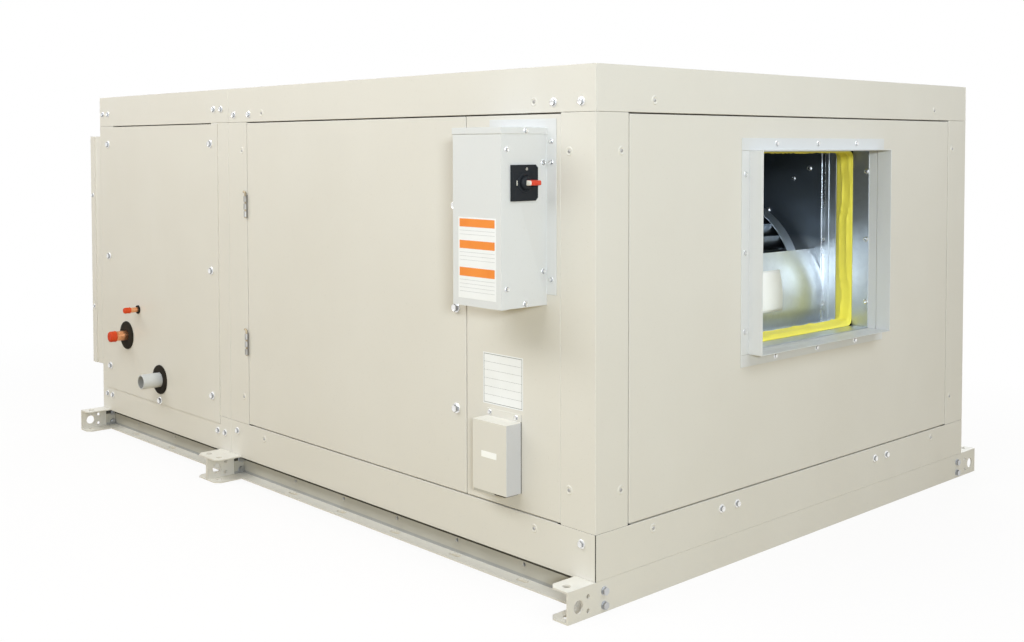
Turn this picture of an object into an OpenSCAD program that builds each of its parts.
// Horizontal indoor air-handling unit: a coil section and a belt-driven blower section on one base.
// Air goes in at -X through the filter rack and leaves at +X through the discharge collar.
// The service side with the door, the disconnect switch and the pipe stubs faces -Y.
// The origin lies midway between the four corner hanger holes, on the underside of the base.

/* [Casing] */
// Length of the coil section along the airflow
coil_l = 685; // [660:5:740]
// Length of the blower section along the airflow
blower_l = 1160; // [1120:5:1240]
// Width of the casing across the airflow
casing_w = 1250; // [1200:5:1320]
// Height of the casing without its base
casing_h = 850; // [830:5:900]
// Width of the corner posts on each face
post_w = 80; // [76:1:84]
// Width of the frame rails on each face
rail_w = 78; // [74:1:80]
// Sheet thickness of the frame
frame_t = 2; // [1.5:0.5:2.5]
// Thickness of the insulated panels
panel_t = 25; // [22:1:28]
// Gap round each flush panel
panel_gap = 2.5; // [2:0.5:3.5]
// Width of the lips that the panels seat on
lip_w = 12; // [8:1:15]
// Gap between the two sections
seam_gap = 0.8; // [0.4:0.2:0.8]
// Width of the fixed panel beside the access door
fixed_panel_w = 240; // [236:1:260]

/* [Base] */
// Height of the base rails
base_h = 54; // [50:1:70]
// Sheet thickness of the base rails
base_t = 3; // [2.5:0.5:4]
// Flange width of the cross rails of the base
flange_w = 45; // [40:1:50]
// Flange width of the side rails of the base
side_flange_w = 32; // [31:1:40]
// Overhang of the cross rails beyond each casing side
hanger_out = 65; // [60:1:80]
// Distance of the hanger holes beyond the casing side
hanger_y = 45; // [40:1:48]
// Distance of the hanger holes behind the outer face of the web
hanger_x = 22; // [20:1:24]
// Diameter of the hanger rod holes
hanger_d = 14; // [11:1:16]
// Diameter of the large hole in the web of each overhang
web_hole_d = 22; // [18:1:24]

/* [Discharge] */
// Inside width of the discharge opening
duct_w = 449; // [430:1:460]
// Inside height of the discharge opening
duct_h = 376; // [370:1:384]
// Offset of the discharge opening from the casing centre
duct_y = 15; // [0:1:25]
// Height of the middle of the discharge opening above the casing bottom
duct_z = 518; // [512:1:522]
// Distance that the collar stands out of the discharge panel
collar_out = 32; // [25:1:40]
// Width of the collar flange
collar_flange = 24; // [20:1:28]

/* [Blower] */
// Distance of the blower shaft behind the discharge face
shaft_back = 352; // [348:1:360]
// Outside radius of the blower wheel
wheel_r = 188; // [184:1:192]
// Width of the blower wheel
wheel_w = 400; // [380:5:405]
// Number of wheel blades
blade_count = 36; // [24:1:40]
// Diameter of the blower shaft
shaft_d = 25.4; // [24:0.1:28]
// Outside radius of the blower pulley
big_pulley_r = 100; // [90:1:110]
// Outside radius of the motor pulley
small_pulley_r = 50; // [45:1:56]
// Radius of the motor body
motor_r = 90; // [80:1:95]
// Length of the motor body
motor_l = 260; // [240:5:270]
// Distance of the motor shaft behind the discharge face
motor_back = 850; // [840:5:870]

/* [Coil and filters] */
// Depth of the coil along the airflow
coil_d = 130; // [120:1:140]
// Distance of the coil face behind the return end of the casing
coil_x = 120; // [115:1:125]
// Depth of the filter rack
rack_d = 55; // [52:1:60]
// Height of the filter rack
rack_h = 626; // [600:1:640]
// Height of the bottom of the rack above the casing bottom
rack_z = 119; // [115:1:130]

/* [Pipes] */
// Outside diameter of the drain pipe
drain_d = 37; // [33:0.5:42]
// Outside diameter of the suction pipe
suction_d = 25.4; // [22:0.1:28.6]
// Outside diameter of the liquid pipe
liquid_d = 12.7; // [12:0.1:16]
// Distance that the pipes stand out of the coil panel
pipe_out = 48; // [45:1:60]

/* [Electrics] */
// Width of the disconnect box
box_w = 120; // [110:1:125]
// Depth of the disconnect box
box_d = 106; // [100:1:120]
// Height of the disconnect box
box_h = 300; // [290:1:304]
// Side length of the switch plate
plate_w = 60; // [55:1:66]

/* [Hidden] */
$fn = 48;
eps = 1;
joint_gap = 0.3;
run_gap = 0.05;
casing_l = coil_l + blower_l;
x_in = -casing_l / 2;
x_out = casing_l / 2;
x_seam = x_in + coil_l;
coil_end = x_seam - seam_gap / 2;
blower_start = x_seam + seam_gap / 2;
y_front = -casing_w / 2;
y_back = casing_w / 2;
z_low = base_h;
z_top = base_h + casing_h;
z_mid = base_h + casing_h / 2;
cross_l = casing_w + 2 * hanger_out;
chamfer = 12;
coil_holes = coil_l * [0.22, 0.516, 0.812];
blower_holes = blower_l * [0.196, 0.354, 0.512, 0.67, 0.828];
slot_shift = 8;
bolt_z = [12, 36];
bolt_in = side_flange_w - base_t - 7.5;
bolt_d = 8;
skin_t = 2;
door_gap = 0.5;

inner_low = z_low + rail_w + panel_gap;
inner_high = z_top - rail_w - panel_gap;
fixed_x = x_out - post_w - fixed_panel_w;
door_x0 = blower_start + post_w + panel_gap;
door_x1 = fixed_x - panel_gap / 2;
mullion_w = 50;
mullion_d = 20;
hinge_h = 52;
hinge_z = [z_low + 580, z_low + 265];
hinge_r = 4;
hinge_pin_r = 2;
hinge_x = door_x0 - panel_gap / 2;
hinge_y = y_front - hinge_r - 1;
leaf_t = 1;
knuckle_h = hinge_h / 3;

duct_mid = z_low + duct_z;
collar_t = 1.5;
collar_in = 28;
strip_t = 1.2;
strip_lap = 10;
flex_x0 = x_out - 95;
flex_x1 = x_out - 56;
flex_t = 3;
blower_face = x_out - 113;

shaft_x = x_out - shaft_back;
scroll_top = duct_mid + duct_h / 2;
shaft_z = scroll_top - 296;
scroll_low = duct_mid - duct_h / 2 - shaft_z;
scroll_r0 = 216;
scroll_r1 = scroll_top - shaft_z;
cutoff_a = 22;
scroll_sweep = 270 + cutoff_a;
sill_lap = 7.5;
sill_turn = 0.4;
cutoff_span = cutoff_a - asin(scroll_low / (scroll_r0 + 12)) + sill_lap;
wrap_t = 1.5;
side_t = 1.5;
side_lip = 6;
face_dx = blower_face - shaft_x;
side_y = duct_w / 2 + side_t;
inlet_r = 160;
cone_r = 148;
cone_in = 28;
blade_r = 158;
blade_t = 1.5;
blade_tilt = 25;
ring_t = 3;
hub_r = 30;
hub_w = 70;
bracket_out = 55;
bracket_t = 4;
bracket_h = 44;
bearing_w = 34;
bearing_r = 26;
pulley_w = 22;
groove_w = 13;
groove_d = 11;
belt_w = 10;
belt_h = 9;
belt_grow = 1.004;
pulley_y = duct_y - side_y - bracket_out - bracket_t - bearing_w - 30;
shaft_y0 = pulley_y - pulley_w / 2 - 6;
shaft_y1 = duct_y + side_y + bracket_out + bracket_t + bearing_w + 8;

floor_top = z_low + panel_t;
isolator_h = 37;
isolator_r = 28;
beam_h = 40;
beam_w = 40;
beam_low = floor_top + isolator_h;
beam_high = beam_low + beam_h;
beam_x0 = x_out - motor_back - 150;
beam_x1 = blower_face - 20;
leg_w = 60;
leg_t = 4;
leg_h = shaft_z - beam_high - 158;
motor_plate_t = 8;
motor_x = x_out - motor_back;
motor_foot_h = 10;
motor_z = beam_high + motor_plate_t + motor_foot_h + motor_r;
motor_y0 = pulley_y + pulley_w / 2 + 45;
motor_shaft_r = 12;

rack_t = 1.5;
rack_lip = 15;
rack_x0 = x_in - rack_d;
rack_low = z_low + rack_z;
rack_high = rack_low + rack_h;
cover_t = 1.5;
filter_gap = 0.4;
fin_x0 = x_in + coil_x;
fin_x1 = fin_x0 + coil_d;
fin_y0 = y_front + 110;
fin_y1 = y_back - 70;
fin_low = z_low + 165;
fin_high = z_top - 110;
end_plate_t = 2;
pan_t = 1.5;
drain_t = 3.4;
drain_x = x_in + 338;
drain_z = z_low + 123;
pan_low = drain_z - drain_d / 2 - 6;
pan_h = 60;
pan_leg = 30;
pan_leg_in = 45;
pan_front = 60;
pan_back = 50;
pan_lead = 35;
pan_tail = 60;
suction_x = x_in + 154;
suction_z = z_low + 216;
liquid_x = x_in + 221;
liquid_z = z_low + 291;
grommet_d = 74;
small_grommet_d = 22;
grommet_t = 4;
stub_root = y_front - skin_t - grommet_t;
header_y = y_front + 72;
suction_out = pipe_out + 3;
liquid_out = pipe_out - 7;
drain_out = pipe_out + 7;
cap_l = 16;
cap_t = 1.4;

box_x1 = x_out - 112;
box_x0 = box_x1 - box_w;
box_low = z_low + 447;
box_high = box_low + box_h;
box_t = 1.5;
lid_gap = 11;
plate_t = 4;
plate_cut = 7;
plate_y = y_front - box_d / 2 - 2;
plate_z = box_low + 208;
knob_r = 11;
knob_h = 8;
grip_back = 3;
grip_l = 23;
grip_t = 10;
grip_h = 17;
jbox_x0 = x_out - 263;
jbox_w = 88;
jbox_d = 36;
jbox_low = z_low + 111;
jbox_h = 124;

// Point of the scroll spiral after sweep angle a from the cutoff, moved out by d
function scroll_point(a, d) =
    let (r = scroll_r0 + (scroll_r1 - scroll_r0) * a / scroll_sweep + d)
    [r * cos(cutoff_a - a), r * sin(cutoff_a - a)];

// Points of the spiral from sweep angle a0 to a1
function scroll_arc(a0, a1, d, n) = [for (i = [0:n]) scroll_point(a0 + (a1 - a0) * i / n, d)];

// Copies a child to both sides of the casing
module both_sides() {
    children();
    mirror([0, 1, 0])
        children();
}

// Copies a child to the top and bottom edges on both sides
module four_edges() {
    both_sides() {
        children();
        translate([0, 0, z_mid])
            mirror([0, 0, 1])
                translate([0, 0, -z_mid])
                    children();
    }
}

// Copies a child to both ends of a section that runs from a to b
module both_ends(a, b) {
    children();
    translate([(a + b) / 2, 0, 0])
        mirror([1, 0, 0])
            translate([-(a + b) / 2, 0, 0])
                children();
}

// Block from a low corner to a high corner
module block(low, high) {
    translate(low)
        cube(high - low);
}

// Round bar along Y from y0 to y1
module bar_y(x, z, y0, y1, r) {
    translate([x, y0, z])
        rotate([-90, 0, 0])
            cylinder(r = r, h = y1 - y0);
}

// Hexagon screw head with a washer, its seat at z = 0
module hex_head(across, height, washer) {
    cylinder(d = washer, h = 1.2);
    cylinder(d = across / cos(30), h = height, $fn = 6);
}

// Screw head on the service face
module front_screw(x, z, across, height, washer, y = y_front) {
    translate([x, y, z])
        rotate([90, 0, 0])
            hex_head(across, height, washer);
}

// Screw head on the discharge face
module end_screw(y, z, across, height, washer, x = x_out) {
    translate([x, y, z])
        rotate([0, 90, 0])
            hex_head(across, height, washer);
}

// Cross rail with its web at x = 0 and its flanges toward +X
module cross_rail() {
    difference() {
        union() {
            block([0, -cross_l / 2, 0], [base_t, cross_l / 2, base_h]);
            block([0, -cross_l / 2, 0], [flange_w, cross_l / 2, base_t]);
            block([0, -cross_l / 2, base_h - base_t], [flange_w, cross_l / 2, base_h]);
        }
        both_sides()
            cross_rail_cuts();
    }
}

// Holes and corner chamfers at one end of a cross rail
module cross_rail_cuts() {
    translate([hanger_x, y_front - hanger_y, -eps])
        cylinder(d = hanger_d, h = base_h + 2 * eps);
    translate([-eps, y_front - 40, base_h - 30])
        rotate([0, 90, 0])
            cylinder(d = web_hole_d, h = base_t + 2 * eps);
    for (z = bolt_z) {
        translate([-eps, y_front - 17, z])
            rotate([0, 90, 0])
                cylinder(d = bolt_d, h = base_t + 2 * eps);
        translate([-eps, y_front + bolt_in, z])
            rotate([0, 90, 0])
                cylinder(d = bolt_d + 2 * joint_gap, h = base_t + 2 * eps);
    }
    translate([0, 0, -eps])
        linear_extrude(base_h + 2 * eps)
            polygon([[flange_w + eps, -cross_l / 2 - eps], [flange_w - chamfer, -cross_l / 2 - eps],
                [flange_w + eps, -cross_l / 2 + chamfer]]);
}

// Side rail of one section, between the webs of its two cross rails at a and b, with holes from a
module side_rail(a, b, holes) {
    start = a + flange_w + joint_gap;
    stop = b - flange_w - joint_gap;
    web_y = y_front + side_flange_w;
    low = base_t + joint_gap;
    high = base_h - base_t - joint_gap;
    difference() {
        union() {
            block([start, y_front, 0], [stop, web_y, base_t]);
            block([start, y_front, base_h - base_t], [stop, web_y, base_h]);
            block([start, web_y - base_t, 0], [stop, web_y, base_h]);
            block([a + base_t, web_y - base_t, low], [b - base_t, web_y, high]);
            block([a + base_t, y_front + 5, low], [a + 2 * base_t, web_y, high]);
            block([b - 2 * base_t, y_front + 5, low], [b - base_t, web_y, high]);
        }
        for (along = holes) {
            side_rail_holes(a + along);
        }
        for (z = bolt_z) {
            translate([a, y_front + bolt_in, z])
                rotate([0, 90, 0])
                    cylinder(d = bolt_d + 2 * joint_gap, h = b - a);
        }
    }
}

// One web hole and one oval flange hole of a side rail
module side_rail_holes(x) {
    translate([x, y_front + side_flange_w - base_t - eps, base_h / 2])
        rotate([-90, 0, 0])
            cylinder(d = 8, h = base_t + 2 * eps);
    translate([x + slot_shift, y_front + 18, -eps]) {
        block([-8, -6, 0], [8, 6, base_t + 2 * eps]);
        for (dx = [-8, 8]) {
            translate([dx, 0, 0])
                cylinder(d = 12, h = base_t + 2 * eps);
        }
    }
}

module base_side_rails() {
    color([0.80, 0.78, 0.72])
        both_sides() {
            side_rail(x_in, coil_end, coil_holes);
            side_rail(blower_start, x_out, blower_holes);
        }
}

module base_end_rails() {
    color([0.82, 0.80, 0.74])
        both_ends(x_in, x_out)
            translate([x_in, 0, 0])
                cross_rail();
}

module base_mid_rails() {
    color([0.82, 0.80, 0.74]) {
        translate([blower_start, 0, 0])
            cross_rail();
        translate([coil_end, 0, 0])
            mirror([1, 0, 0])
                cross_rail();
    }
}

// Bolt along X with its head at x = 0 and its nut after the grip
module base_bolt(grip) {
    rotate([0, -90, 0])
        hex_head(12, 6, 15);
    rotate([0, 90, 0])
        cylinder(d = bolt_d - joint_gap, h = grip + 8);
    translate([grip, 0, 0])
        rotate([0, 90, 0])
            cylinder(d = 12 / cos(30), h = 6, $fn = 6);
}

module base_bolts() {
    color([0.70, 0.70, 0.70])
        both_sides()
            for (z = bolt_z) {
                translate([x_in, y_front + bolt_in, z])
                    base_bolt(2 * base_t);
                translate([x_out, y_front + bolt_in, z])
                    mirror([1, 0, 0])
                        base_bolt(2 * base_t);
                translate([blower_start + 2 * base_t, y_front + bolt_in, z])
                    mirror([1, 0, 0])
                        base_bolt(4 * base_t + seam_gap);
            }
}

// Rail along X from a to b at the lower front edge of the casing, with lips for the panels
module long_rail(a, b) {
    side_in = post_w + lip_w + joint_gap;
    flat_in = rail_w + lip_w + joint_gap;
    block([a, y_front, z_low], [b, y_front + frame_t, z_low + rail_w]);
    block([a + frame_t + joint_gap, y_front, z_low],
        [b - frame_t - joint_gap, y_front + rail_w, z_low + frame_t]);
    block([a + side_in, y_front, z_low + rail_w - frame_t],
        [b - side_in, y_front + panel_t + frame_t, z_low + rail_w]);
    block([a + side_in, y_front + panel_t, z_low + rail_w - frame_t],
        [b - side_in, y_front + panel_t + frame_t, z_low + rail_w + lip_w]);
    block([a + flat_in, y_front + rail_w - frame_t, z_low],
        [b - flat_in, y_front + rail_w, z_low + panel_t + frame_t]);
    block([a + flat_in, y_front + rail_w - frame_t, z_low + panel_t],
        [b - flat_in, y_front + rail_w + lip_w, z_low + panel_t + frame_t]);
}

// Rail along Y at the lower edge of the end face at x, its legs toward +X and +Z
module end_rail(x) {
    half = casing_w / 2 - frame_t - joint_gap;
    flat_half = casing_w / 2 - rail_w - joint_gap;
    side_half = casing_w / 2 - post_w - lip_w - joint_gap;
    block([x, -half, z_low], [x + frame_t, half, z_low + rail_w]);
    block([x, -flat_half, z_low], [x + rail_w, flat_half, z_low + frame_t]);
    block([x, -side_half, z_low + rail_w - frame_t],
        [x + panel_t + frame_t, side_half, z_low + rail_w]);
    block([x + panel_t, -side_half, z_low + rail_w - frame_t],
        [x + panel_t + frame_t, side_half, z_low + rail_w + lip_w]);
    block([x + rail_w - frame_t, -flat_half, z_low],
        [x + rail_w, flat_half, z_low + panel_t + frame_t]);
    block([x + rail_w - frame_t, -flat_half, z_low + panel_t],
        [x + rail_w + lip_w, flat_half, z_low + panel_t + frame_t]);
}

// All rails of a section from a to b
module section_rails(a, b) {
    four_edges()
        long_rail(a, b);
    both_ends(a, b) {
        end_rail(a);
        translate([0, 0, z_mid])
            mirror([0, 0, 1])
                translate([0, 0, -z_mid])
                    end_rail(a);
    }
}

// Corner post at x and the service side, its legs toward +X and +Y
module corner_post(x) {
    low = z_low + rail_w + joint_gap;
    high = z_top - rail_w - joint_gap;
    block([x, y_front, low], [x + post_w, y_front + frame_t, high]);
    block([x, y_front, low], [x + frame_t, y_front + post_w, high]);
    block([x + post_w - frame_t, y_front, low], [x + post_w, y_front + panel_t + frame_t, high]);
    block([x + post_w - frame_t, y_front + panel_t, low],
        [x + post_w + lip_w, y_front + panel_t + frame_t, high]);
    block([x, y_front + post_w - frame_t, low], [x + panel_t + frame_t, y_front + post_w, high]);
    block([x + panel_t, y_front + post_w - frame_t, low],
        [x + panel_t + frame_t, y_front + post_w + lip_w, high]);
}

module coil_posts() {
    color([0.84, 0.82, 0.76])
        both_sides()
            both_ends(x_in, coil_end)
                corner_post(x_in);
}

module coil_rails() {
    color([0.84, 0.82, 0.76])
        section_rails(x_in, coil_end);
}

module blower_posts() {
    color([0.84, 0.82, 0.76])
        both_sides()
            both_ends(blower_start, x_out)
                corner_post(blower_start);
}

module blower_rails() {
    color([0.84, 0.82, 0.76])
        section_rails(blower_start, x_out);
}

// Upright behind the joint of the door and the fixed panel
module door_mullion() {
    low = z_low + rail_w + lip_w;
    high = z_top - rail_w - lip_w;
    back = y_front + panel_t;
    color([0.74, 0.76, 0.78]) {
        block([fixed_x - mullion_w / 2, back, low], [fixed_x + mullion_w / 2, back + frame_t, high]);
        block([fixed_x - mullion_w / 2, back, low],
            [fixed_x - mullion_w / 2 + frame_t, back + mullion_d, high]);
        block([fixed_x + mullion_w / 2 - frame_t, back, low],
            [fixed_x + mullion_w / 2, back + mullion_d, high]);
    }
}

// Hexagon screws on the rails of one side
module side_frame_screws() {
    for (x = [x_in + 19, x_in + 52, coil_end - 66, coil_end - 31])
        front_screw(x, z_top - 46, 9, 5, 14);
    for (x = [blower_start + 26, blower_start + 91, x_out - 96, x_out - 32])
        front_screw(x, z_top - 61, 9, 5, 14);
    for (x = [x_in + 29, x_in + 60, coil_end - 59, coil_end - 26])
        front_screw(x, z_low + 42, 9, 5, 14);
    for (x = [blower_start + 30, x_out - 31])
        front_screw(x, z_low + 57, 9, 5, 14);
}

module frame_screws() {
    panel_y = y_front - skin_t;
    color([0.72, 0.72, 0.72]) {
        both_sides()
            side_frame_screws();
        for (z = [z_low + 122, z_low + 421, z_low + 723]) {
            front_screw(x_in + 54, z, 11, 6, 17, panel_y);
            front_screw(coil_end - 80, z, 11, 6, 17, panel_y);
        }
        front_screw(drain_x, z_low + 69, 11, 6, 17, panel_y);
        both_sides()
            for (y = [y_front + 337, y_front + 384])
                end_screw(y, z_low + 55, 9, 5, 14);
    }
}

// Low round screw head on a dimple, its seat at z = 0
module low_head() {
    cylinder(d = 14, h = 0.6);
    cylinder(d = 7, h = 1.6);
}

module recessed_screws() {
    color([0.78, 0.76, 0.70])
        both_sides() {
            for (x = [blower_start + 145, x_out - 144], z = [z_low + 57, z_top - 59])
                translate([x, y_front, z])
                    rotate([90, 0, 0])
                        low_head();
            for (x = [blower_start + 60, x_out - 60], z = [z_low + 141, z_low + 707])
                translate([x, y_front, z])
                    rotate([90, 0, 0])
                        low_head();
            for (z = [z_low + 60, z_top - 57])
                translate([x_out, y_front + 146, z])
                    rotate([0, 90, 0])
                        low_head();
            for (z = [z_low + 142, z_low + 708])
                translate([x_out, y_front + 62, z])
                    rotate([0, 90, 0])
                        low_head();
        }
}

// Round clearance hole through the coil panel
module panel_hole(x, z, d) {
    bar_y(x, z, y_front - skin_t - eps, y_front + panel_t + eps, d / 2);
}

module coil_access_panel() {
    color([0.83, 0.81, 0.75])
        difference() {
            union() {
                block([x_in + 23, y_front - skin_t, z_low + 60],
                    [coil_end - 48, y_front, z_top - rail_w - panel_gap]);
                block([x_in + post_w + panel_gap, y_front - skin_t, inner_low],
                    [coil_end - post_w - panel_gap, y_front + panel_t, inner_high]);
            }
            panel_hole(drain_x, drain_z, drain_d + 12);
            panel_hole(suction_x, suction_z, suction_d + 16);
            panel_hole(liquid_x, liquid_z, liquid_d + 5);
        }
}

// Flush slab in the end face at x, between the posts
module end_slab(x0, x1) {
    block([x0, y_front + post_w + panel_gap, inner_low], [x1, y_back - post_w - panel_gap, inner_high]);
}

module return_panel() {
    hole_y = casing_w / 2 - post_w - 25;
    color([0.80, 0.79, 0.74])
        difference() {
            end_slab(x_in, x_in + panel_t);
            block([x_in - eps, -hole_y, rack_low + 20], [x_in + panel_t + eps, hole_y, rack_high - 20]);
        }
}

module rear_panels() {
    color([0.83, 0.81, 0.75]) {
        block([x_in + post_w + panel_gap, y_back - panel_t, inner_low],
            [coil_end - post_w - panel_gap, y_back, inner_high]);
        block([blower_start + post_w + panel_gap, y_back - panel_t, inner_low],
            [x_out - post_w - panel_gap, y_back, inner_high]);
    }
}

// Flat slab between the rails of a section from a to b
module flat_slab(a, b, low, high) {
    edge = casing_w / 2 - rail_w - panel_gap;
    block([a + rail_w + panel_gap, -edge, low], [b - rail_w - panel_gap, edge, high]);
}

module roof_panels() {
    color([0.83, 0.81, 0.75]) {
        flat_slab(x_in, coil_end, z_top - panel_t, z_top);
        flat_slab(blower_start, x_out, z_top - panel_t, z_top);
    }
}

module floor_panels() {
    color([0.74, 0.76, 0.78]) {
        flat_slab(x_in, coil_end, z_low, z_low + panel_t);
        flat_slab(blower_start, x_out, z_low, z_low + panel_t);
    }
}

module blower_fixed_panel() {
    color([0.83, 0.81, 0.75])
        block([fixed_x + panel_gap / 2, y_front, inner_low],
            [x_out - post_w - joint_gap, y_front + panel_t, inner_high]);
}

module access_door() {
    color([0.83, 0.81, 0.75])
        block([door_x0, y_front, inner_low], [door_x1, y_front + panel_t - door_gap, inner_high]);
}

module frame_hinge_leaves() {
    color([0.55, 0.55, 0.54])
        for (z = hinge_z) {
            difference() {
                union() {
                    block([hinge_x - leaf_t - 0.25, hinge_y, z - hinge_h / 2],
                        [hinge_x - 0.25, y_front + panel_t - 4, z + hinge_h / 2]);
                    translate([hinge_x, hinge_y, z - hinge_h / 2])
                        cylinder(r = hinge_r, h = hinge_h);
                }
                translate([hinge_x, hinge_y, z - knuckle_h / 2 - joint_gap])
                    cylinder(r = hinge_r + joint_gap, h = knuckle_h + 2 * joint_gap);
            }
            translate([hinge_x, hinge_y, z - hinge_h / 2])
                cylinder(r = hinge_pin_r, h = hinge_h);
        }
}

module door_hinge_leaves() {
    color([0.58, 0.58, 0.57])
        for (z = hinge_z) {
            difference() {
                union() {
                    block([hinge_x + 0.25, hinge_y, z - hinge_h / 2],
                        [hinge_x + leaf_t + 0.25, y_front + panel_t - 4, z + hinge_h / 2]);
                    translate([hinge_x, hinge_y, z - knuckle_h / 2])
                        cylinder(r = hinge_r, h = knuckle_h);
                }
                translate([hinge_x, hinge_y, z - hinge_h / 2 - eps])
                    cylinder(r = hinge_pin_r + run_gap, h = hinge_h + 2 * eps);
                for (low = [z - hinge_h / 2 - eps, z + knuckle_h / 2])
                    translate([hinge_x, hinge_y, low])
                        cylinder(r = hinge_r + joint_gap, h = knuckle_h + eps);
            }
        }
}

module door_fasteners() {
    color([0.68, 0.67, 0.63])
        for (z = [z_low + 234, z_low + 420, z_low + 608])
            front_screw(door_x1 - 26, z, 12, 8, 19);
}

// Rectangular tube along X from x0 to x1 with the given inside size and wall
module duct_tube(x0, x1, w, h, t) {
    difference() {
        block([x0, duct_y - w / 2 - t, duct_mid - h / 2 - t], [x1, duct_y + w / 2 + t, duct_mid + h / 2 + t]);
        block([x0 - eps, duct_y - w / 2, duct_mid - h / 2], [x1 + eps, duct_y + w / 2, duct_mid + h / 2]);
    }
}

module discharge_panel() {
    hole = collar_t + joint_gap;
    color([0.83, 0.81, 0.75])
        difference() {
            end_slab(x_out - panel_t, x_out);
            block([x_out - panel_t - eps, duct_y - duct_w / 2 - hole, duct_mid - duct_h / 2 - hole],
                [x_out + eps, duct_y + duct_w / 2 + hole, duct_mid + duct_h / 2 + hole]);
        }
}

module discharge_collar() {
    color([0.86, 0.85, 0.80]) {
        duct_tube(x_out - collar_in, x_out + collar_out, duct_w, duct_h, collar_t);
        duct_tube(x_out, x_out + collar_t, duct_w, duct_h, collar_flange);
    }
}

module collar_screws() {
    color([0.78, 0.77, 0.73]) {
        for (dy = [-140, 0, 140], side = [-1, 1])
            end_screw(duct_y + dy, duct_mid + side * (duct_h / 2 + 14), 6, 3, 9, x_out + collar_t);
        for (dz = [-146, 0, 145], side = [-1, 1])
            end_screw(duct_y + side * (duct_w / 2 + 14), duct_mid + dz, 6, 3, 9, x_out + collar_t);
        for (dz = [-132, 0, 143], side = [-1, 1])
            translate([x_out - 24, duct_y + side * (duct_w / 2 - joint_gap - strip_t), duct_mid + dz])
                rotate([side * 90, 0, 0])
                    hex_head(6, 3, 9);
    }
}

module flex_strips() {
    w = duct_w - 2 * joint_gap - 2 * strip_t;
    h = duct_h - 2 * joint_gap - 2 * strip_t;
    color([0.72, 0.75, 0.78]) {
        duct_tube(flex_x1, x_out - collar_in + strip_lap, w, h, strip_t);
        duct_tube(blower_face - strip_lap, flex_x0, w, h, strip_t);
    }
}

// Fabric sleeve between the two metal strips
module flex_connector() {
    w = duct_w - 2 * joint_gap - 2 * strip_t;
    h = duct_h - 2 * joint_gap - 2 * strip_t;
    color([0.92, 0.84, 0.20])
        duct_tube(flex_x0, flex_x1, w, h, flex_t);
}

module filter_rack() {
    color([0.80, 0.79, 0.74])
        difference() {
            block([rack_x0, y_front + cover_t, rack_low], [x_in, y_back, rack_high]);
            block([rack_x0 + rack_t, y_front - eps, rack_low + rack_t],
                [x_in - rack_t, y_back - rack_t, rack_high - rack_t]);
            block([rack_x0 - eps, y_front - eps, rack_low + rack_lip],
                [x_in + eps, y_back - rack_lip, rack_high - rack_lip]);
        }
}

module filter_cover() {
    color([0.84, 0.83, 0.78]) {
        block([rack_x0, y_front, rack_low], [x_in - joint_gap, y_front + cover_t - joint_gap, rack_high]);
        block([rack_x0, y_front - 3, rack_low], [rack_x0 + 24, y_front, rack_high]);
    }
}

module cover_screws() {
    color([0.70, 0.70, 0.70])
        for (z = [z_low + 275, z_low + 583])
            front_screw(rack_x0 + 12, z, 8, 4, 11, y_front - 3);
}

// One framed filter from y0 to y1
module framed_filter(y0, y1) {
    low = [rack_x0 + rack_t + filter_gap, y0, rack_low + rack_t + filter_gap];
    high = [x_in - rack_t - filter_gap, y1, rack_high - rack_t - filter_gap];
    rim = [0, 22, 22];
    dish = [8, 0, 0];
    difference() {
        block(low, high);
        block(low + rim - [eps, 0, 0], [low[0] + dish[0], high[1] - rim[1], high[2] - rim[2]]);
        block([high[0] - dish[0], low[1] + rim[1], low[2] + rim[2]], high - rim + [eps, 0, 0]);
    }
}

module filters() {
    color([0.90, 0.90, 0.88]) {
        framed_filter(y_front + cover_t + 4, -joint_gap / 2);
        framed_filter(joint_gap / 2, y_back - rack_t - filter_gap);
    }
}

module coil_fins() {
    color([0.75, 0.77, 0.79])
        block([fin_x0, fin_y0, fin_low], [fin_x1, fin_y1, fin_high]);
}

module coil_plates() {
    color([0.70, 0.73, 0.76]) {
        block([fin_x0 - 6, fin_y0 - end_plate_t, pan_low + pan_t], [fin_x1 + 6, fin_y0, fin_high + 10]);
        block([fin_x0 - 6, fin_y1, pan_low + pan_t], [fin_x1 + 6, fin_y1 + end_plate_t, fin_high + 10]);
    }
}

// Half ring of tube standing out of the end plate at the rear
module return_bend(x, z) {
    translate([x, fin_y1 + end_plate_t, z])
        rotate_extrude(angle = 180, $fn = 24)
            translate([16, 0])
                circle(r = 5, $fn = 16);
}

module coil_bends() {
    step = (fin_high - fin_low) / 12;
    color([0.78, 0.45, 0.28])
        for (i = [0:11], j = [0, 1])
            return_bend(fin_x0 + coil_d * (1 + 2 * j) / 4, fin_low + step * (i + 0.5));
}

module suction_line() {
    color([0.78, 0.45, 0.28]) {
        translate([suction_x, header_y, suction_z - 30])
            cylinder(r = 17, h = fin_high - suction_z);
        bar_y(suction_x, suction_z, y_front - suction_out, header_y, suction_d / 2);
        for (i = [0:5])
            bar_y(suction_x, suction_z + 40 + 75 * i, header_y, fin_y0 - end_plate_t, 6);
    }
}

module liquid_line() {
    valve_z = liquid_z + 70;
    color([0.78, 0.48, 0.30]) {
        bar_y(liquid_x, liquid_z, y_front - liquid_out, header_y, liquid_d / 2);
        translate([liquid_x, header_y, liquid_z - liquid_d / 2])
            cylinder(d = liquid_d, h = valve_z - liquid_z + 10);
        translate([liquid_x, header_y, valve_z])
            cylinder(r = 16, h = 46);
        translate([liquid_x, header_y, valve_z + 46])
            cylinder(r1 = 10, r2 = 20, h = 40);
        for (i = [0:3])
            bar_y(liquid_x - 15 + 10 * i, valve_z + 74, header_y, fin_y0 - end_plate_t, 3);
    }
}

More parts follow.
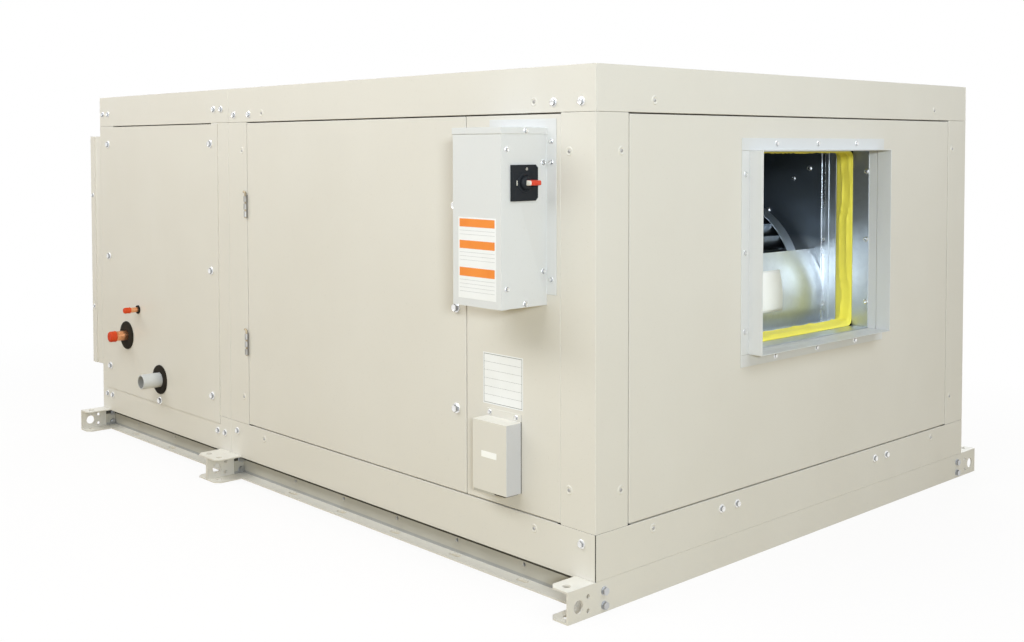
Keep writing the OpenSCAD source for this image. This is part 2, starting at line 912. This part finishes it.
module drain_pan() {
    low = [fin_x0 - pan_lead, y_front + pan_front, pan_low];
    high = [drain_x + pan_tail, y_back - pan_back, pan_low + pan_h];
    wall_z = pan_low + pan_t + joint_gap;
    color([0.72, 0.75, 0.78]) {
        block(low, [high[0], high[1], low[2] + pan_t]);
        difference() {
            block([low[0], low[1], wall_z], [high[0], low[1] + pan_t, high[2]]);
            bar_y(drain_x, drain_z, low[1] - eps, low[1] + pan_t + eps, drain_d / 2 - drain_t);
        }
        block([low[0], high[1] - pan_t, wall_z], high);
        for (x = [low[0], high[0] - pan_t])
            block([x, low[1] + pan_t + joint_gap, wall_z], [x + pan_t, high[1] - pan_t - joint_gap, high[2]]);
        for (y = [low[1] + pan_leg_in, 0, high[1] - pan_leg_in - pan_leg]) {
            block([low[0] + 20, y, floor_top], [high[0] - 20, y + frame_t, pan_low - joint_gap]);
            block([low[0] + 20, y, floor_top], [high[0] - 20, y + pan_leg, floor_top + frame_t]);
        }
    }
}

module drain_pipe() {
    color([0.78, 0.80, 0.80])
        difference() {
            union() {
                bar_y(drain_x, drain_z, y_front - drain_out, stub_root, drain_d / 2);
                bar_y(drain_x, drain_z, stub_root - eps, y_front + pan_front, drain_d / 2 - 0.5);
            }
            bar_y(drain_x, drain_z, y_front - drain_out - eps, y_front + pan_front + eps, drain_d / 2 - drain_t);
        }
}

// Ring of rubber round a pipe on the coil panel
module grommet(x, z, outer, hole) {
    difference() {
        bar_y(x, z, y_front - skin_t - grommet_t, y_front - skin_t, outer / 2);
        bar_y(x, z, y_front - skin_t - grommet_t - eps, y_front, hole / 2 + joint_gap);
    }
}

module pipe_grommets() {
    color([0.09, 0.09, 0.09]) {
        grommet(drain_x, drain_z, grommet_d, drain_d);
        grommet(suction_x, suction_z, grommet_d, suction_d);
        grommet(liquid_x, liquid_z, small_grommet_d, liquid_d);
    }
}

// Soft plastic cap over the end of a pipe
module pipe_cap(x, z, d, out) {
    tip = y_front - out;
    difference() {
        bar_y(x, z, tip - cap_t, tip + cap_l, d / 2 + cap_t);
        bar_y(x, z, tip, tip + cap_l + eps, d / 2 + run_gap);
    }
}

module pipe_caps() {
    color([0.80, 0.16, 0.08]) {
        pipe_cap(suction_x, suction_z, suction_d, suction_out);
        pipe_cap(liquid_x, liquid_z, liquid_d, liquid_out);
    }
}

// Places a flat outline in the plane of the scroll, from y0 to y1
module scroll_plate(y0, y1) {
    translate([shaft_x, y1, shaft_z])
        rotate([90, 0, 0])
            linear_extrude(y1 - y0)
                children();
}

// Outline of a scroll side with its outlet
module scroll_outline() {
    difference() {
        union() {
            polygon(scroll_arc(0, scroll_sweep, side_lip, 40));
            polygon([[0, scroll_low - side_lip], [face_dx, scroll_low - side_lip],
                [face_dx, scroll_r1 + side_lip], [0, scroll_r1 + side_lip]]);
        }
        circle(r = inlet_r);
    }
}

module scroll_sides() {
    color([0.70, 0.73, 0.76]) {
        scroll_plate(duct_y - side_y, duct_y - side_y + side_t)
            scroll_outline();
        scroll_plate(duct_y + side_y - side_t, duct_y + side_y)
            scroll_outline();
    }
}

module scroll_wrap() {
    start = cutoff_span + 1;
    half = duct_w / 2;
    color([0.70, 0.73, 0.76])
        scroll_plate(duct_y - half, duct_y + half)
            polygon(concat(scroll_arc(start, scroll_sweep, wrap_t, 32), [[face_dx, scroll_r1 + wrap_t]],
                [[face_dx, scroll_r1]], scroll_arc(scroll_sweep, start, 0, 32)));
}

module cutoff_plate() {
    half = duct_w / 2;
    bend = cutoff_span - sill_lap;
    color([0.72, 0.75, 0.78])
        scroll_plate(duct_y - half, duct_y + half)
            polygon(concat(scroll_arc(0, bend, wrap_t, 8), [[face_dx, scroll_low]],
                [[face_dx, scroll_low - wrap_t]], scroll_arc(bend + sill_turn, cutoff_span, wrap_t, 2),
                scroll_arc(cutoff_span, 0, 0, 10)));
}

// Bell mouth on the service side of the scroll
module inlet_cone() {
    translate([shaft_x, duct_y - side_y, shaft_z])
        rotate([-90, 0, 0])
            rotate_extrude()
                polygon([[inlet_r + 14, -2], [inlet_r + 14, 0], [inlet_r - 3, 0], [cone_r + 2, 12],
                    [cone_r + 2, cone_in], [cone_r, cone_in], [cone_r, 10], [inlet_r - 6, -2]]);
}

module inlet_cones() {
    color([0.70, 0.73, 0.76]) {
        inlet_cone();
        translate([0, duct_y, 0])
            mirror([0, 1, 0])
                translate([0, -duct_y, 0])
                    inlet_cone();
    }
}

// Ring or disc of the wheel centred on y
module wheel_ring(y, w, outer, inner) {
    difference() {
        bar_y(shaft_x, shaft_z, y - w / 2, y + w / 2, outer);
        bar_y(shaft_x, shaft_z, y - w / 2 - eps, y + w / 2 + eps, inner);
    }
}

module blower_wheel() {
    end = wheel_w / 2 - ring_t / 2;
    color([0.66, 0.69, 0.72]) {
        wheel_ring(duct_y - end, ring_t, wheel_r, blade_r);
        wheel_ring(duct_y + end, ring_t, wheel_r, blade_r);
        wheel_ring(duct_y, ring_t, wheel_r, shaft_d / 2 + run_gap);
        wheel_ring(duct_y, hub_w, hub_r, shaft_d / 2 + run_gap);
        for (i = [0:blade_count - 1])
            translate([shaft_x, duct_y, shaft_z])
                rotate([0, 360 / blade_count * i, 0])
                    translate([(wheel_r + blade_r) / 2, 0, 0])
                        rotate([0, blade_tilt, 0])
                            cube([wheel_r - blade_r - 2, wheel_w, blade_t], center = true);
    }
}

module blower_shaft() {
    color([0.62, 0.62, 0.62])
        bar_y(shaft_x, shaft_z, shaft_y0, shaft_y1, shaft_d / 2);
}

// Pillow block standing on the outside of a bracket, from y0 to y1
module pillow_block(y0, y1) {
    difference() {
        union() {
            bar_y(shaft_x, shaft_z, y0, y1, bearing_r);
            block([shaft_x - 60, y0, shaft_z - 18], [shaft_x + 60, y1, shaft_z - 2]);
        }
        bar_y(shaft_x, shaft_z, y0 - eps, y1 + eps, shaft_d / 2 + run_gap);
    }
}

module shaft_bearings() {
    out = side_y + bracket_out + bracket_t;
    color([0.30, 0.36, 0.34]) {
        pillow_block(duct_y - out - bearing_w, duct_y - out);
        pillow_block(duct_y + out, duct_y + out + bearing_w);
    }
}

// Strap across the inlet on the service side that carries a bearing
module bearing_bracket() {
    face = duct_y - side_y;
    reach = inlet_r + 40;
    difference() {
        union() {
            block([shaft_x - reach, face - bracket_out - bracket_t, shaft_z - bracket_h / 2],
                [shaft_x + reach, face - bracket_out, shaft_z + bracket_h / 2]);
            for (x = [shaft_x - reach, shaft_x + reach - bracket_t])
                block([x, face - bracket_out - bracket_t, shaft_z - bracket_h / 2],
                    [x + bracket_t, face, shaft_z + bracket_h / 2]);
        }
        bar_y(shaft_x, shaft_z, face - bracket_out - bracket_t - eps, face - bracket_out + eps,
            shaft_d / 2 + 3);
    }
}

module bearing_brackets() {
    color([0.66, 0.69, 0.72]) {
        bearing_bracket();
        translate([0, duct_y, 0])
            mirror([0, 1, 0])
                translate([0, -duct_y, 0])
                    bearing_bracket();
    }
}

// Grooved pulley on the Y axis through x and z
module pulley(x, z, r, bore_r) {
    difference() {
        bar_y(x, z, pulley_y - pulley_w / 2, pulley_y + pulley_w / 2, r);
        difference() {
            bar_y(x, z, pulley_y - groove_w / 2, pulley_y + groove_w / 2, r + eps);
            bar_y(x, z, pulley_y - pulley_w, pulley_y + pulley_w, r - groove_d);
        }
        bar_y(x, z, pulley_y - pulley_w, pulley_y + pulley_w, bore_r);
    }
}

module blower_pulley() {
    color([0.28, 0.30, 0.31])
        difference() {
            pulley(shaft_x, shaft_z, big_pulley_r, shaft_d / 2 + run_gap);
            for (i = [0:2])
                translate([shaft_x, 0, shaft_z])
                    rotate([0, 120 * i + 30, 0])
                        translate([-shaft_x, 0, -shaft_z])
                            bar_y(shaft_x + big_pulley_r * 0.52, shaft_z, pulley_y - pulley_w,
                                pulley_y + pulley_w, big_pulley_r * 0.22);
        }
}

// Points of a belt loop round two circles, the first at the middle and the second at distance d
function belt_loop(r0, r1, d, grow) =
    let (lean = acos((r0 - r1) / d), n = 24)
    concat(
        [for (i = [0:n]) let (a = lean + (360 - 2 * lean) * i / n) (r0 * grow) * [cos(a), sin(a)]],
        [for (i = [0:n]) let (a = -lean + 2 * lean * i / n) [d, 0] + (r1 * grow) * [cos(a), sin(a)]]);

module drive_belt() {
    dx = motor_x - shaft_x;
    dz = motor_z - shaft_z;
    span = sqrt(dx * dx + dz * dz);
    low_r = big_pulley_r - groove_d + joint_gap;
    low_s = small_pulley_r - groove_d + joint_gap;
    color([0.08, 0.08, 0.08])
        translate([shaft_x, pulley_y + belt_w / 2, shaft_z])
            rotate([90, 0, 0])
                linear_extrude(belt_w)
                    rotate([0, 0, atan2(dz, dx)])
                        difference() {
                            polygon(belt_loop(low_r + belt_h, low_s + belt_h, span, 1));
                            polygon(belt_loop(low_r, low_s, span, belt_grow));
                        }
}

module motor() {
    color([0.34, 0.37, 0.39])
        difference() {
            union() {
                bar_y(motor_x, motor_z, motor_y0, motor_y0 + motor_l, motor_r);
                bar_y(motor_x, motor_z, motor_y0 - 14, motor_y0, motor_r * 0.6);
                block([motor_x - 80, motor_y0 + 40, beam_high + motor_plate_t],
                    [motor_x + 80, motor_y0 + motor_l - 40, beam_high + motor_plate_t + motor_foot_h]);
                block([motor_x - 60, motor_y0 + 50, beam_high + motor_plate_t],
                    [motor_x + 60, motor_y0 + motor_l - 50, motor_z]);
                block([motor_x - 50, motor_y0 + 70, motor_z], [motor_x + 50, motor_y0 + 170, motor_z + motor_r + 40]);
            }
            bar_y(motor_x, motor_z, motor_y0 - 20, motor_y0 + 80, motor_shaft_r + run_gap);
        }
}

module motor_pulley() {
    color([0.28, 0.30, 0.31]) {
        pulley(motor_x, motor_z, small_pulley_r, motor_shaft_r);
        bar_y(motor_x, motor_z, pulley_y - pulley_w / 2 - 4, motor_y0 + 76, motor_shaft_r);
    }
}

module motor_plate() {
    color([0.60, 0.62, 0.64])
        block([motor_x - 110, duct_y - side_y - beam_w, beam_high],
            [motor_x + 110, duct_y + side_y + beam_w, beam_high + motor_plate_t]);
}

// One beam with two legs for the scroll, on the service side
module base_beam() {
    face = duct_y - side_y;
    block([beam_x0, face - beam_w, beam_low], [beam_x1, face - joint_gap, beam_high]);
    for (x = [shaft_x - 170, shaft_x + 90])
        block([x, face - leg_t, beam_high], [x + leg_w, face, beam_high + leg_h]);
}

module blower_base() {
    color([0.66, 0.69, 0.72]) {
        base_beam();
        translate([0, duct_y, 0])
            mirror([0, 1, 0])
                translate([0, -duct_y, 0])
                    base_beam();
    }
}

module isolators() {
    color([0.12, 0.12, 0.12])
        for (x = [beam_x0 + 60, beam_x1 - 60], side = [-1, 1])
            translate([x, duct_y + side * (side_y + beam_w / 2), floor_top])
                cylinder(r = isolator_r, h = isolator_h);
}

module disconnect_box() {
    color([0.82, 0.81, 0.77])
        difference() {
            union() {
                block([box_x0, y_front - box_d + box_t, box_low], [box_x1, y_front, box_high]);
                block([box_x0 - box_t, y_front - box_d - box_t, box_high - lid_gap],
                    [box_x1 + box_t, y_front, box_high]);
                block([box_x0 - 23, y_front - box_t, box_low + 18], [box_x1 + 23, y_front, box_high + 15]);
            }
            block([box_x0 + box_t, y_front - box_d - 3 * box_t, box_low + box_t],
                [box_x1 - box_t, y_front - box_t, box_high - lid_gap]);
            block([box_x0 + box_t, y_front - box_d, box_high - lid_gap - eps],
                [box_x1 - box_t, y_front - box_t, box_high - box_t]);
        }
}

module disconnect_lid() {
    color([0.84, 0.83, 0.79])
        block([box_x0, y_front - box_d, box_low], [box_x1, y_front - box_d + box_t, box_high - lid_gap]);
}

module box_screws() {
    side_x = box_x1;
    low = box_low;
    color([0.80, 0.79, 0.76]) {
        for (p = [[-93, 34], [-93, 264], [-51, 6], [-9, 58], [-9, 241]])
            end_screw(y_front + p[0], low + p[1], 5, 3, 8, side_x);
        end_screw(y_front - 51, box_high - lid_gap / 2, 5, 3, 8, side_x + box_t);
        for (z = [low + 44, low + 242, low + 277], x = [box_x1 + 12, box_x0 - 12])
            front_screw(x, z, 5, 3, 8, y_front - box_t);
        for (x = [jbox_x0 + 8, jbox_x0 + jbox_w - 12])
            front_screw(x, jbox_low + jbox_h + 7, 5, 3, 8, y_front - box_t);
    }
}

module switch_plate() {
    color([0.07, 0.07, 0.07])
        difference() {
            block([box_x1, plate_y - plate_w / 2, plate_z - plate_w / 2],
                [box_x1 + plate_t, plate_y + plate_w / 2, plate_z + plate_w / 2]);
            translate([box_x1 + 2, plate_y, plate_z])
                rotate([0, 90, 0])
                    cylinder(r = knob_r + run_gap, h = plate_t);
            for (side = [-1, 1])
                translate([box_x1 - eps, plate_y + plate_w / 2, plate_z + side * plate_w / 2])
                    rotate([45, 0, 0])
                        cube([2 * plate_t + 2 * eps, plate_cut, plate_cut], center = true);
        }
}

module switch_handle() {
    seat = box_x1 + 2 + joint_gap;
    front = box_x1 + plate_t + joint_gap;
    color([0.78, 0.14, 0.08]) {
        translate([seat, plate_y, plate_z])
            rotate([0, 90, 0])
                cylinder(r = knob_r, h = knob_h);
        block([front, plate_y - grip_back, plate_z - grip_t / 2],
            [front + grip_h, plate_y + grip_l, plate_z + grip_t / 2]);
    }
}

module junction_box() {
    color([0.82, 0.81, 0.77]) {
        block([jbox_x0, y_front - jbox_d, jbox_low], [jbox_x0 + jbox_w, y_front, jbox_low + jbox_h]);
        block([jbox_x0, y_front - box_t, jbox_low], [jbox_x0 + jbox_w, y_front, jbox_low + jbox_h + 14]);
    }
}

base_side_rails();
base_end_rails();
base_mid_rails();
base_bolts();
coil_posts();
coil_rails();
blower_posts();
blower_rails();
door_mullion();
frame_screws();
recessed_screws();
coil_access_panel();
return_panel();
rear_panels();
roof_panels();
floor_panels();
blower_fixed_panel();
access_door();
frame_hinge_leaves();
door_hinge_leaves();
door_fasteners();
discharge_panel();
discharge_collar();
collar_screws();
flex_strips();
flex_connector();
filter_rack();
filter_cover();
cover_screws();
filters();
coil_fins();
coil_plates();
coil_bends();
suction_line();
liquid_line();
drain_pan();
drain_pipe();
pipe_grommets();
pipe_caps();
scroll_sides();
scroll_wrap();
cutoff_plate();
inlet_cones();
blower_wheel();
blower_shaft();
shaft_bearings();
bearing_brackets();
blower_pulley();
drive_belt();
motor();
motor_pulley();
motor_plate();
blower_base();
isolators();
disconnect_box();
disconnect_lid();
box_screws();
switch_plate();
switch_handle();
junction_box();
